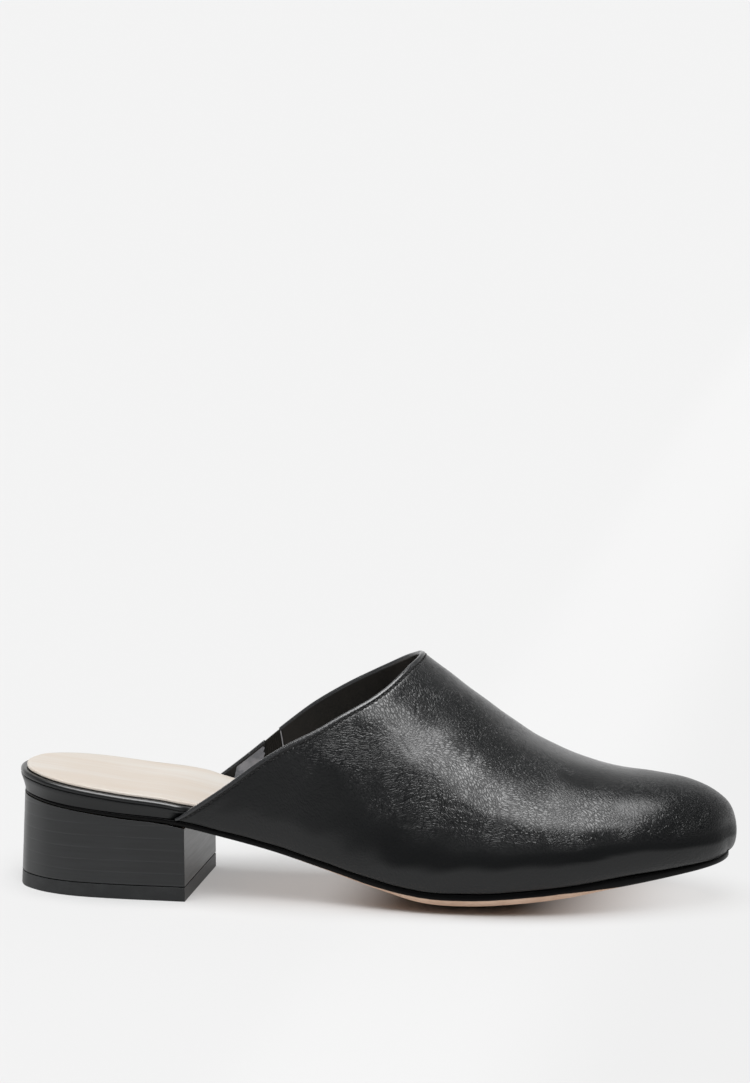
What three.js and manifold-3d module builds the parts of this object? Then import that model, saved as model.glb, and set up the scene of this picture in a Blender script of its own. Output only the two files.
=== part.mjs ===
import * as THREE from 'three';
import { mergeVertices } from 'three/addons/utils/BufferGeometryUtils.js';
import Module from 'manifold-3d';

// A low heel mule for the right foot, about EU 38. Millimetres, +Z up, the toe towards +X, the
// inner side of the foot towards +Y, standing on z = 0. While a piece is worked out, x runs from
// the rearmost point of the heel; the finished shoe is centred over the origin at the end.

const wasm = await Module();
wasm.setup();

// Driving sizes of the last
const shoeLength = 253.8; // back of the heel to the tip of the toe
const ballWidth = 78; // outsole across the ball
const instepHeight = 76; // throat of the vamp above the sole line
const heelHeight = 33.8; // top lift and heel block, at the back
const toeSpring = 9.8; // sole line at the tip of the toe above the sole line at the ball

// Driving sizes of the bottom
const soleThickness = 4.4; // outsole at the ball, its thinnest places are shares of it
const treadCrown = 4.1; // how far the bottom of the last bulges down between its edges
const flatSpot = 1.3; // how far the crown is pressed flat where the ball stands on the floor
const heelLength = 64.6; // back of the heel to its breast
const heelBackFlare = 2; // how far the heel's back leans out from its top to the floor
const heelSideTaper = 0.08; // how much narrower the heel is at the floor, as a share
const liftThickness = 5;
const liftEase = 0.5; // how far the lift's lower edge is eased
const boardThickness = 6.1; // wrapped insole board at the back of the heel
const rimFlare = 1.5; // how far the board's rim leans out from its foot to its top
const rimRoll = 1.6; // radius of the board's rolled top edge
const hiddenRoll = 0.6; // the same where the upper covers it
const sockThickness = 0.9;

// Driving sizes of the upper
const wall = 1.8; // leather and lining
const goreThickness = 1.2;
const glueLine = 0.3; // gap between pieces that are glued or sewn together

// The bottom of the last, a row for each station from heel to toe. at is a share of shoeLength,
// lateral and medial are the outsole's reach to each side as shares of ballWidth, heel and spring
// say how much of the heel's and the toe's lift the sole line has there, and crown, sole and board
// are shares of treadCrown, soleThickness and boardThickness.
const bottomRows = [
  { at: 0.008, lateral: -0.013, medial: 0.013, heel: 0.985, spring: 0, crown: 0, sole: 0.16, board: 1 },
  { at: 0.016, lateral: 0.114, medial: 0.14, heel: 0.979, spring: 0, crown: 0, sole: 0.16, board: 1 },
  { at: 0.032, lateral: 0.2, medial: 0.223, heel: 0.964, spring: 0, crown: 0, sole: 0.17, board: 0.985 },
  { at: 0.062, lateral: 0.287, medial: 0.297, heel: 0.939, spring: 0, crown: 0, sole: 0.2, board: 0.94 },
  { at: 0.105, lateral: 0.344, medial: 0.344, heel: 0.902, spring: 0, crown: 0, sole: 0.25, board: 0.88 },
  { at: 0.165, lateral: 0.363, medial: 0.362, heel: 0.851, spring: 0, crown: 0, sole: 0.34, board: 0.8 },
  { at: 0.235, lateral: 0.362, medial: 0.37, heel: 0.793, spring: 0, crown: 0, sole: 0.42, board: 0.76 },
  { at: 0.306, lateral: 0.358, medial: 0.357, heel: 0.662, spring: 0, crown: 0.2, sole: 0.5, board: 0.74 },
  { at: 0.378, lateral: 0.364, medial: 0.326, heel: 0.5, spring: 0, crown: 0.4, sole: 0.5, board: 0.6 },
  { at: 0.449, lateral: 0.387, medial: 0.341, heel: 0.317, spring: 0, crown: 0.55, sole: 0.56, board: 0.5 },
  { at: 0.52, lateral: 0.426, medial: 0.392, heel: 0.14, spring: 0, crown: 0.8, sole: 0.68, board: 0.45 },
  { at: 0.587, lateral: 0.459, medial: 0.456, heel: 0.029, spring: 0, crown: 1, sole: 0.95, board: 0.44 },
  { at: 0.654, lateral: 0.472, medial: 0.51, heel: 0, spring: 0.058, crown: 1, sole: 1, board: 0.44 },
  { at: 0.721, lateral: 0.459, medial: 0.523, heel: 0, spring: 0.18, crown: 1, sole: 1, board: 0.44 },
  { at: 0.784, lateral: 0.42, medial: 0.495, heel: 0, spring: 0.35, crown: 0.86, sole: 0.95, board: 0.44 },
  { at: 0.839, lateral: 0.364, medial: 0.444, heel: 0, spring: 0.565, crown: 0.7, sole: 0.85, board: 0.44 },
  { at: 0.886, lateral: 0.306, medial: 0.379, heel: 0, spring: 0.715, crown: 0.55, sole: 0.75, board: 0.44 },
  { at: 0.926, lateral: 0.238, medial: 0.303, heel: 0, spring: 0.83, crown: 0.4, sole: 0.65, board: 0.44 },
  { at: 0.96, lateral: 0.16, medial: 0.217, heel: 0, spring: 0.925, crown: 0.25, sole: 0.57, board: 0.44 },
  { at: 0.982, lateral: 0.068, medial: 0.128, heel: 0, spring: 0.98, crown: 0.1, sole: 0.5, board: 0.44 },
  { at: 0.99, lateral: -0.038, medial: 0.038, heel: 0, spring: 1, crown: 0, sole: 0.46, board: 0.44 },
];

// The outside of the upper, a row for each section from behind the wings to the tip of the toe.
// lateral and medial are the widest reach to each side and ridge is where the crest runs, as
// shares of ballWidth. wide, crest and under are the heights of the widest point, the crest and
// the underside above the sole line, as shares of instepHeight. roundLateral and roundMedial are
// the powers of the arch on each side: 2 is an ellipse, less is more of a ridge.
const upperRows = [
  { at: 0.188, lateral: 0.39, medial: 0.388, wide: 0.2, ridge: 0, crest: 1.13, under: 0,
    roundLateral: 2.6, roundMedial: 2.6 },
  { at: 0.259, lateral: 0.393, medial: 0.392, wide: 0.2, ridge: 0, crest: 1.16, under: 0,
    roundLateral: 2.5, roundMedial: 2.5 },
  { at: 0.33, lateral: 0.396, medial: 0.38, wide: 0.21, ridge: 0.006, crest: 1.158, under: 0,
    roundLateral: 2.4, roundMedial: 2.4 },
  { at: 0.401, lateral: 0.409, medial: 0.37, wide: 0.21, ridge: 0.019, crest: 1.138, under: 0,
    roundLateral: 2.2, roundMedial: 2.3 },
  { at: 0.472, lateral: 0.434, medial: 0.394, wide: 0.21, ridge: 0.032, crest: 1.092, under: 0,
    roundLateral: 1.95, roundMedial: 2.15 },
  { at: 0.535, lateral: 0.464, medial: 0.446, wide: 0.204, ridge: 0.045, crest: 1.042, under: 0,
    roundLateral: 1.85, roundMedial: 2 },
  { at: 0.591, lateral: 0.492, medial: 0.505, wide: 0.19, ridge: 0.051, crest: 0.937, under: 0,
    roundLateral: 1.8, roundMedial: 1.95 },
  { at: 0.654, lateral: 0.513, medial: 0.554, wide: 0.178, ridge: 0.058, crest: 0.78, under: 0,
    roundLateral: 1.85, roundMedial: 1.95 },
  { at: 0.721, lateral: 0.505, medial: 0.567, wide: 0.165, ridge: 0.058, crest: 0.605, under: 0,
    roundLateral: 1.95, roundMedial: 2 },
  { at: 0.784, lateral: 0.469, medial: 0.541, wide: 0.151, ridge: 0.058, crest: 0.489, under: 0,
    roundLateral: 2.05, roundMedial: 2.05 },
  { at: 0.839, lateral: 0.415, medial: 0.492, wide: 0.138, ridge: 0.056, crest: 0.416, under: 0,
    roundLateral: 2.15, roundMedial: 2.15 },
  { at: 0.886, lateral: 0.358, medial: 0.43, wide: 0.126, ridge: 0.053, crest: 0.38, under: 0,
    roundLateral: 2.2, roundMedial: 2.2 },
  { at: 0.926, lateral: 0.293, medial: 0.358, wide: 0.116, ridge: 0.048, crest: 0.346, under: 0,
    roundLateral: 2.2, roundMedial: 2.2 },
  { at: 0.957, lateral: 0.22, medial: 0.282, wide: 0.108, ridge: 0.044, crest: 0.304, under: 0,
    roundLateral: 2.15, roundMedial: 2.15 },
  { at: 0.98, lateral: 0.145, medial: 0.208, wide: 0.101, ridge: 0.04, crest: 0.251, under: 0,
    roundLateral: 2.1, roundMedial: 2.1 },
  { at: 0.992, lateral: 0.07, medial: 0.14, wide: 0.098, ridge: 0.038, crest: 0.208, under: 0.008,
    roundLateral: 2.05, roundMedial: 2.05 },
  { at: 0.998, lateral: 0.014, medial: 0.09, wide: 0.097, ridge: 0.038, crest: 0.158, under: 0.04,
    roundLateral: 2, roundMedial: 2 },
  { at: 1, lateral: -0.038, medial: 0.038, wide: 0.097, ridge: 0.038, crest: 0.097, under: 0.097,
    roundLateral: 2, roundMedial: 2 },
];

// The topline, a row for each place along it: its height above the sole line on each side, as
// shares of instepHeight. The last rows carry the cut clear over the vamp in front of the throat.
const toplineRows = [
  { at: 0.18, lateral: -0.1, medial: -0.1 },
  { at: 0.228, lateral: -0.03, medial: -0.03 },
  { at: 0.251, lateral: 0.02, medial: 0.03 },
  { at: 0.283, lateral: 0.115, medial: 0.137 },
  { at: 0.322, lateral: 0.24, medial: 0.275 },
  { at: 0.362, lateral: 0.375, medial: 0.422 },
  { at: 0.401, lateral: 0.492, medial: 0.56 },
  { at: 0.441, lateral: 0.598, medial: 0.683 },
  { at: 0.476, lateral: 0.699, medial: 0.78 },
  { at: 0.512, lateral: 0.795, medial: 0.877 },
  { at: 0.535, lateral: 0.865, medial: 0.938 },
  { at: 0.555, lateral: 0.94, medial: 0.984 },
  { at: 0.569, lateral: 1.006, medial: 1.024 },
  { at: 0.583, lateral: 1.2, medial: 1.2 },
  { at: 0.6, lateral: 1.6, medial: 1.6 },
];

// The two seams of the elastic gore on the medial side, from the topline down to the feather:
// front and rear are places along the shoe, height is above the sole line.
const seamTop = 3; // the seams' carried-on ends, again as shares of instepHeight
const seamFoot = -1;
const goreRows = [
  { front: 0.338, rear: 0.297, height: 0.46 },
  { front: 0.352, rear: 0.311, height: 0.37 },
  { front: 0.37, rear: 0.329, height: 0.29 },
  { front: 0.386, rear: 0.346, height: 0.16 },
  { front: 0.402, rear: 0.365, height: -0.05 },
];

// How finely the shapes are cut into faces
const bottomStations = 42;
const upperStations = 44;
const acrossFaces = 8;
const archFaces = 9;
const tuckFaces = 4;
const tuckShare = 0.2; // share of the way round a section that tucks under, on each side
const sideSign = { lateral: -1, medial: 1 };

// Returns a function of the row number that runs smoothly through every column of a table.
// before and after are the rows that the curve heads for beyond its two ends.
function smoothRows(rows, before, after) {
  const all = [before, ...rows, after];
  return (t) => {
    const i = Math.min(Math.floor(t), rows.length - 2);
    const f = t - i;
    const [a, b, c, d] = all.slice(i, i + 4);
    const row = {};
    for (const key of Object.keys(b)) {
      const leave = (c[key] - a[key]) / 2;
      const arrive = (d[key] - b[key]) / 2;
      const bend = 3 * (c[key] - b[key]) - 2 * leave - arrive;
      const twist = 2 * (b[key] - c[key]) + leave + arrive;
      row[key] = b[key] + f * (leave + f * (bend + f * twist));
    }
    return row;
  };
}

// The row beyond a rounded tip: the two sides change places, so the outline turns round the tip.
const roundTip = (row) => ({ ...row, lateral: -row.medial, medial: -row.lateral });
const roundNose = (row) => ({ ...roundTip(row), crest: row.under, under: row.crest });

function runOn(end, inner) {
  const beyond = {};
  for (const key of Object.keys(end)) beyond[key] = 2 * end[key] - inner[key];
  return beyond;
}

const bottomTip = bottomRows.length - 1;
const bottomAt = smoothRows(bottomRows, roundTip(bottomRows[1]), roundTip(bottomRows[bottomTip - 1]));
const upperTip = upperRows.length - 1;
const upperAt = smoothRows(
  upperRows,
  runOn(upperRows[0], upperRows[1]),
  roundNose(upperRows[upperTip - 1]),
);
const toplineEnd = toplineRows.length - 1;
const toplineAt = smoothRows(
  toplineRows,
  runOn(toplineRows[0], toplineRows[1]),
  runOn(toplineRows[toplineEnd], toplineRows[toplineEnd - 1]),
);

// Row number at which a table's curve reaches the place x along the shoe.
function rowNumber(table, last, x) {
  let low = 0;
  let high = last;
  for (let step = 0; step < 40; step += 1) {
    const middle = (low + high) / 2;
    if (table(middle).at * shoeLength < x) low = middle;
    else high = middle;
  }
  return (low + high) / 2;
}

const bottomAtX = (x) => bottomAt(rowNumber(bottomAt, bottomTip, x));

// Height of the sole line, which is the top edge of the outsole and the feather of the upper.
const treadHeight = soleThickness + treadCrown - flatSpot;
const seatSole = bottomRows[0].sole * soleThickness;
const seatHeight = heelHeight + glueLine + seatSole;
const lineHeight = (row) => treadHeight + (seatHeight - treadHeight) * row.heel + toeSpring * row.spring;

// A point of the outsole's outline at row number t, moved inwards by inset.
function outlinePoint(t, side, inset) {
  const step = 0.01;
  const behind = bottomAt(Math.max(t - step, 0));
  const ahead = bottomAt(Math.min(t + step, bottomTip));
  const here = bottomAt(t);
  const sign = sideSign[side];
  const run = (ahead.at - behind.at) * shoeLength;
  const reach = (ahead[side] - behind[side]) * ballWidth;
  const length = Math.hypot(run, reach);
  return {
    x: here.at * shoeLength + (inset * reach) / length,
    y: sign * (here[side] * ballWidth - (inset * run) / length),
  };
}

// A row of points across the bottom at row number t. inset moves the two ends inwards, share is
// how much of the half width each point keeps, and height gives each point's height.
function acrossRow(t, inset, shares, height) {
  const row = bottomAt(t);
  const lateral = outlinePoint(t, 'lateral', inset);
  const medial = outlinePoint(t, 'medial', inset);
  return shares.map((share) => {
    const f = (share + 1) / 2;
    const x = THREE.MathUtils.lerp(lateral.x, medial.x, f);
    const y = THREE.MathUtils.lerp(lateral.y, medial.y, f);
    return new THREE.Vector3(x, y, height(row, share));
  });
}

// How far the middle of a quarter-round edge lies in from the corner, as a share of its radius.
const rollMiddle = 1 - Math.SQRT1_2;

const evenShares = (count) => Array.from({ length: count + 1 }, (_, i) => -1 + (2 * i) / count);
const sag = (row, share) => treadCrown * row.crown * (1 - share * share);

const weldGap = 1e-3;

// Turns positions and faces into a closed geometry: shared corners are merged, faces with no
// area are left out, and the faces point outwards.
function closedGeometry(points, faces) {
  const rough = new THREE.BufferGeometry();
  const positions = new Float32Array(points.length * 3);
  points.forEach((point, i) => point.toArray(positions, i * 3));
  rough.setAttribute('position', new THREE.BufferAttribute(positions, 3));
  rough.setIndex(faces.flat());
  const merged = mergeVertices(rough, weldGap);
  const index = merged.index.array;
  const kept = [];
  for (let i = 0; i < index.length; i += 3) {
    const [a, b, c] = index.slice(i, i + 3);
    if (a !== b && b !== c && c !== a) kept.push([a, b, c]);
  }
  const corner = (i) => new THREE.Vector3().fromBufferAttribute(merged.attributes.position, i);
  const volume = kept.reduce((sum, [a, b, c]) => sum + corner(a).dot(corner(b).cross(corner(c))), 0);
  const outward = volume > 0 ? kept : kept.map(([a, b, c]) => [a, c, b]);
  merged.setIndex(outward.flat());
  merged.computeVertexNormals();
  return merged;
}

// A solid skin over closed rings of equally many points, with a fan over each end.
function loft(rings) {
  const size = rings[0].length;
  const points = rings.flat();
  const faces = [];
  for (let r = 0; r + 1 < rings.length; r += 1) {
    for (let k = 0; k < size; k += 1) {
      const next = (k + 1) % size;
      const [a, b] = [r * size + k, r * size + next];
      const [c, d] = [a + size, b + size];
      faces.push([a, b, d], [a, d, c]);
    }
  }
  for (const [start, order] of [[0, -1], [points.length - size, 1]]) {
    const ring = points.slice(start, start + size);
    const centre = ring.reduce((sum, point) => sum.add(point), new THREE.Vector3()).divideScalar(size);
    points.push(centre);
    for (let k = 0; k < size; k += 1) {
      const ends = [start + k, start + ((k + 1) % size)];
      if (order < 0) ends.reverse();
      faces.push([points.length - 1, ...ends]);
    }
  }
  return closedGeometry(points, faces);
}

function toSolid(geometry) {
  const vertProperties = new Float32Array(geometry.attributes.position.array);
  const triVerts = new Uint32Array(geometry.index.array);
  return new wasm.Manifold(new wasm.Mesh({ numProp: 3, vertProperties, triVerts }));
}

function toGeometry(solid) {
  const mesh = solid.getMesh();
  const geometry = new THREE.BufferGeometry();
  geometry.setAttribute('position', new THREE.BufferAttribute(mesh.vertProperties, 3));
  geometry.setIndex(new THREE.BufferAttribute(mesh.triVerts, 1));
  geometry.computeVertexNormals();
  return geometry;
}

// A closed piece of the bottom: ringAt gives the ring of points at each station of its length.
function bottomPiece(ringAt) {
  const rings = [];
  for (let i = 0; i <= bottomStations; i += 1) rings.push(ringAt((i / bottomStations) * bottomTip));
  return loft(rings);
}

// Outsole: its top follows the last, its edge drops straight and rolls under, and the ball of
// its tread is pressed flat on the floor.
function makeOutsole() {
  const edgeShare = 0.5;
  const rollShare = 0.35;
  const shares = evenShares(acrossFaces);
  return bottomPiece((t) => {
    const thick = soleThickness * bottomAt(t).sole;
    const edgeDrop = thick * edgeShare;
    const roll = thick * rollShare;
    const topZ = (row, share) => lineHeight(row) - sag(row, share);
    const treadZ = (row, share) => Math.max(lineHeight(row) - sag(row, share) - thick, 0);
    const top = acrossRow(t, 0, shares, topZ);
    const edge = acrossRow(t, 0, [-1, 1], (row) => lineHeight(row) - edgeDrop);
    const rollZ = (row) => lineHeight(row) - (edgeDrop + thick) / 2;
    const rolled = acrossRow(t, roll * rollMiddle, [-1, 1], rollZ);
    const tread = acrossRow(t, roll, shares, treadZ);
    return [...top, edge[1], rolled[1], ...tread.reverse(), rolled[0], edge[0]];
  });
}

// Share of the way from the open heel, 0, to where the upper covers the board's edge, 1.
const coverStart = 0.185;
const coverEnd = 0.228;
const flareEnd = 0.4; // places where the rim's lean starts to fade, and where it is gone
const flareGone = 0.55;
const covered = (t) => THREE.MathUtils.smoothstep(bottomAt(t).at, coverStart, coverEnd);

const flare = (t) => rimFlare * (1 - THREE.MathUtils.smoothstep(bottomAt(t).at, flareEnd, flareGone));
const boardFoot = (t) => (wall + glueLine) * covered(t);
const boardShoulder = (t) => boardFoot(t) - flare(t);
const boardRoll = (t) => THREE.MathUtils.lerp(rimRoll, hiddenRoll, covered(t));
const boardBase = (row) => lineHeight(row) + glueLine;
const boardTop = (row) => boardBase(row) + boardThickness * row.board;

// Insole board: a platform whose rim leans out and is rolled over at the heel, and which runs
// thinner inside the upper.
function makeBoard() {
  const shares = evenShares(acrossFaces);
  return bottomPiece((t) => {
    const roll = boardRoll(t);
    const foot = acrossRow(t, boardFoot(t), shares, (r, share) => boardBase(r) - sag(r, share));
    const shoulder = acrossRow(t, boardShoulder(t), [-1, 1], (r) => boardTop(r) - roll);
    const dip = roll * rollMiddle;
    const rolled = acrossRow(t, boardShoulder(t) + dip, [-1, 1], (r) => boardTop(r) - dip);
    const top = acrossRow(t, boardShoulder(t) + roll, shares, (r, share) => boardTop(r) - sag(r, share));
    return [...foot, shoulder[1], rolled[1], ...top.reverse(), rolled[0], shoulder[0]];
  });
}

// Sock: the thin cover glued on the board.
function makeSock() {
  const shares = evenShares(acrossFaces);
  const base = (row, share) => boardTop(row) + glueLine - sag(row, share);
  return bottomPiece((t) => {
    const inset = boardShoulder(t) + boardRoll(t);
    const under = acrossRow(t, inset, shares, base);
    const over = acrossRow(t, inset, shares, (row, share) => base(row, share) + sockThickness);
    return [...under, ...over.reverse()];
  });
}

// The heel's outline, from its lateral breast corner round the back to the medial one. drop is 0
// at the heel's top and 1 at the floor: the back leans out and the sides draw in.
function heelOutline(drop) {
  const steps = 12;
  const breast = rowNumber(bottomAt, bottomTip, heelLength);
  const back = bottomRows[0].at * shoeLength;
  const stretch = 1 + (heelBackFlare * drop) / (heelLength - back);
  const half = (side) => Array.from({ length: steps + 1 }, (_, i) => {
    const point = outlinePoint(breast * (1 - i / steps), side, 0);
    const x = heelLength - (heelLength - point.x) * stretch;
    const draw = heelSideTaper * drop * Math.sin((Math.PI * i) / steps);
    return { x, y: point.y * (1 - draw) };
  });
  const medial = half('medial').reverse();
  return [...half('lateral'), ...medial.slice(1)];
}

const heelTop = (x) => {
  const row = bottomAtX(x);
  return lineHeight(row) - sag(row, 0) - soleThickness * row.sole - glueLine;
};

function heelRing(share, height) {
  return heelOutline(1 - share).map(({ x, y }) => new THREE.Vector3(x, y, height(x)));
}

// Heel block: from the lift up to the sloping heel seat of the outsole.
function makeHeelBlock() {
  const levels = 4;
  const bottom = liftThickness + glueLine;
  const rings = [];
  for (let i = 0; i <= levels; i += 1) {
    const f = i / levels;
    const share = (bottom + f * (heelHeight - bottom)) / heelHeight;
    rings.push(heelRing(share, (x) => THREE.MathUtils.lerp(bottom, heelTop(x), f)));
  }
  return loft(rings);
}

const liftCentre = new THREE.Vector3(heelLength / 2, 0, 0);

// Top lift: a slab under the block, its lower edge eased.
function makeTopLift() {
  const rounded = heelRing(0, () => liftEase);
  const draw = liftEase / heelLength;
  const foot = rounded.map(({ x, y }) => new THREE.Vector3(x, y, 0).lerp(liftCentre, draw));
  return loft([foot, rounded, heelRing(liftThickness / heelHeight, () => liftThickness)]);
}

// A point of the outside of the upper at row number t. a runs from 0 at the lateral feather over
// the crest at 0.5 to 1 at the medial feather: on each side a quarter ellipse tucks under to the
// feather, and a quarter arch rises to the crest.
function upperPoint(t, a) {
  const row = upperAt(t);
  const x = row.at * shoeLength;
  const bottom = bottomAtX(x);
  const line = lineHeight(bottom) + glueLine;
  const side = a < 0.5 ? 'lateral' : 'medial';
  const sign = sideSign[side];
  const climb = side === 'lateral' ? a : 1 - a;
  const widest = sign * row[side] * ballWidth;
  const wideZ = line + row.wide * instepHeight;
  if (climb < tuckShare) {
    const feather = sign * bottom[side] * ballWidth;
    const angle = (1 - climb / tuckShare) * (Math.PI / 2);
    const underZ = line + row.under * instepHeight;
    const y = feather + (widest - feather) * Math.cos(angle);
    return new THREE.Vector3(x, y, wideZ - (wideZ - underZ) * Math.sin(angle));
  }
  const angle = ((climb - tuckShare) / (0.5 - tuckShare)) * (Math.PI / 2);
  const power = 2 / (side === 'lateral' ? row.roundLateral : row.roundMedial);
  const crestZ = line + row.crest * instepHeight;
  const crestY = row.ridge * ballWidth;
  const y = crestY + (widest - crestY) * Math.max(Math.cos(angle), 0) ** power;
  return new THREE.Vector3(x, y, wideZ + (crestZ - wideZ) * Math.sin(angle) ** power);
}

// The same point moved inwards by depth, square to the surface.
function upperInside(t, a, depth) {
  const point = upperPoint(t, a);
  if (depth === 0) return point;
  if (t >= upperTip) return point.sub(new THREE.Vector3(depth, 0, 0));
  const step = 1e-3;
  const [t0, t1] = [Math.max(t - step, 0), Math.min(t + step, upperTip)];
  const [a0, a1] = [Math.max(a - step, 0), Math.min(a + step, 1)];
  const along = upperPoint(t1, a).sub(upperPoint(t0, a));
  const round = upperPoint(t, a1).sub(upperPoint(t, a0));
  const outward = along.cross(round).normalize();
  return point.addScaledVector(outward, -depth);
}

// The stations of a section, closer where it tucks under.
function sectionSteps() {
  const steps = [];
  for (let k = 0; k < tuckFaces; k += 1) steps.push((k / tuckFaces) * tuckShare);
  for (let k = 0; k < 2 * archFaces; k += 1) steps.push(tuckShare + (k / archFaces) * (0.5 - tuckShare));
  for (let k = 0; k <= tuckFaces; k += 1) steps.push(1 - tuckShare + (k / tuckFaces) * tuckShare);
  return steps;
}

// The upper as a filled form, moved inwards by depth; overrun carries its back end on rearwards.
function upperForm(depth, overrun) {
  const steps = sectionSteps();
  const rings = [];
  for (let i = 0; i <= upperStations; i += 1) {
    const t = (i / upperStations) * upperTip;
    rings.push(steps.map((a) => upperInside(t, a, depth)));
  }
  const back = rings[0].map((point) => point.clone().setX(point.x - overrun));
  return toSolid(loft([back, ...rings]));
}

// The room that the insole board takes up at the bottom of the upper.
function boardRoom() {
  const margin = 1;
  const below = soleThickness + treadCrown;
  return toSolid(bottomPiece((t) => {
    const inset = (wall + margin) * covered(t) - margin;
    const low = acrossRow(t, inset, [-1, 1], (row) => lineHeight(row) - below);
    const foot = acrossRow(t, inset, [-1, 1], boardBase);
    const wide = inset - flare(t);
    const shoulder = acrossRow(t, wide, [-1, 1], (row) => boardTop(row) - boardRoll(t));
    const high = acrossRow(t, wide, [-1, 1], (row) => boardTop(row) + margin);
    return [...low, foot[1], shoulder[1], ...high.reverse(), shoulder[0], foot[0]];
  }));
}

// A solid over the upper whose lower face is the topline: all that is above it is cut away.
function throatCut() {
  const reach = ballWidth;
  const ceiling = 3 * instepHeight;
  const stations = 40;
  const sideSteps = 6;
  const rings = [];
  for (let i = 0; i <= stations; i += 1) {
    const row = toplineAt((i / stations) * toplineEnd);
    const x = row.at * shoeLength;
    const line = lineHeight(bottomAtX(x)) + glueLine;
    const ring = [];
    for (let k = 0; k <= sideSteps; k += 1) {
      const y = reach * (-1 + (2 * k) / sideSteps);
      const f = THREE.MathUtils.smoothstep(y, -reach / 2, reach / 2);
      const share = THREE.MathUtils.lerp(row.lateral, row.medial, f);
      ring.push(new THREE.Vector3(x, y, line + share * instepHeight));
    }
    ring.push(new THREE.Vector3(x, reach, ceiling), new THREE.Vector3(x, -reach, ceiling));
    rings.push(ring);
  }
  const back = rings[0].map((point) => point.clone().setX(-shoeLength));
  return toSolid(loft([back, ...rings]));
}

// A block through the medial wall between two lines seen from the side. Each line is a list of
// x and z, from the top down.
function medialBlock(rearLine, frontLine) {
  const near = 2; // just across the middle of the shoe
  const far = ballWidth;
  const rings = rearLine.map((rear, i) => {
    const front = frontLine[i];
    return [
      new THREE.Vector3(rear.x, near, rear.z),
      new THREE.Vector3(front.x, near, front.z),
      new THREE.Vector3(front.x, far, front.z),
      new THREE.Vector3(rear.x, far, rear.z),
    ];
  });
  return toSolid(loft(rings));
}

// One of the gore's two seams, carried on clear of the upper at both ends and moved by shift.
function seamLine(name, shift) {
  const top = { ...goreRows[0], height: seamTop };
  const foot = { ...goreRows[goreRows.length - 1], height: seamFoot };
  const rows = [top, ...goreRows, foot];
  return rows.map((row) => {
    const x = row[name] * shoeLength;
    return { x: x + shift, z: lineHeight(bottomAtX(x)) + row.height * instepHeight };
  });
}

// The upper's wall, cut along the topline and open over the board.
function upperShell(depth, thick) {
  const clearance = 20;
  const form = upperForm(depth, 0);
  const hollow = upperForm(depth + thick, clearance);
  return form.subtract(hollow).subtract(boardRoom()).subtract(throatCut());
}

const frontSeam = (shift) => seamLine('front', shift);
const rearSeam = (shift) => seamLine('rear', shift);
const farBack = (line) => line.map(({ z }) => ({ x: -shoeLength, z }));

function makeUpper() {
  return toGeometry(upperShell(0, wall).subtract(medialBlock(farBack(frontSeam(0)), frontSeam(0))));
}

function makeMedialTab() {
  return toGeometry(upperShell(0, wall).intersect(medialBlock(farBack(rearSeam(0)), rearSeam(0))));
}

function makeGore() {
  const recess = (wall - goreThickness) / 2;
  const block = medialBlock(rearSeam(glueLine), frontSeam(-glueLine));
  return toGeometry(upperShell(recess, goreThickness).intersect(block));
}

const finish = (color, roughness, metalness = 0) => (
  new THREE.MeshStandardMaterial({ color, roughness, metalness })
);
const blackLeather = finish(0x17181a, 0.42);
const beigeLeather = finish(0xe9ddcf, 0.6);
const heelFinish = finish(0x33353a, 0.45);
const blackRubber = finish(0x26272a, 0.7);
const soleResin = finish(0xd9bfa4, 0.55);
const elastic = finish(0x141416, 0.85);

const shoe = new THREE.Group();

function addPiece(name, geometry, material) {
  const mesh = new THREE.Mesh(geometry, material);
  mesh.name = name;
  shoe.add(mesh);
}

addPiece('top_lift', makeTopLift(), blackRubber);
addPiece('heel_block', makeHeelBlock(), heelFinish);
addPiece('outsole', makeOutsole(), soleResin);
addPiece('insole_board', makeBoard(), blackLeather);
addPiece('sock', makeSock(), beigeLeather);
addPiece('upper', makeUpper(), blackLeather);
addPiece('elastic_gore', makeGore(), elastic);
addPiece('medial_tab', makeMedialTab(), blackLeather);

const box = new THREE.Box3().setFromObject(shoe);
const centre = box.getCenter(new THREE.Vector3());
shoe.position.set(-centre.x, -centre.y, 0);

export default shoe;
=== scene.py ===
"""The looks of a low heel mule for the right foot, piece by piece as it is put together.

Lengths are in millimetres until a mesh is made. While a piece is worked out, x runs from the
rearmost point of the heel, y towards the inner side of the foot and z up from the floor.
"""
import bmesh
import bpy
import numpy as np
from mathutils import Matrix, Vector


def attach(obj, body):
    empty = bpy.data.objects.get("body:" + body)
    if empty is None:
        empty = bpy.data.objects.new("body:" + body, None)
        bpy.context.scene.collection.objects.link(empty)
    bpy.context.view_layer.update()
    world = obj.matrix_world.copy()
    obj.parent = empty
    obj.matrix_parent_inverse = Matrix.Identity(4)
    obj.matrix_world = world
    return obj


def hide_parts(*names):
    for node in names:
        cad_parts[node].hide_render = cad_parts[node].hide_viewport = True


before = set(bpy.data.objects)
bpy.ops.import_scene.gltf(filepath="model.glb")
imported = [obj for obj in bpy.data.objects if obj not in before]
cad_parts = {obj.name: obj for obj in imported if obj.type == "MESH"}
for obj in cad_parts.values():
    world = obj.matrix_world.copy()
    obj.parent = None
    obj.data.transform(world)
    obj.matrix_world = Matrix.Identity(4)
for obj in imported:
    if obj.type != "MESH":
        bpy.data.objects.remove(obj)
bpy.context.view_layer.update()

# Insole board. A stiff board wrapped in black leather: the wrap is turned over a soft bead along
# the open heel, and forward of it the board lies inside the upper, which is lasted over it.

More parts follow.
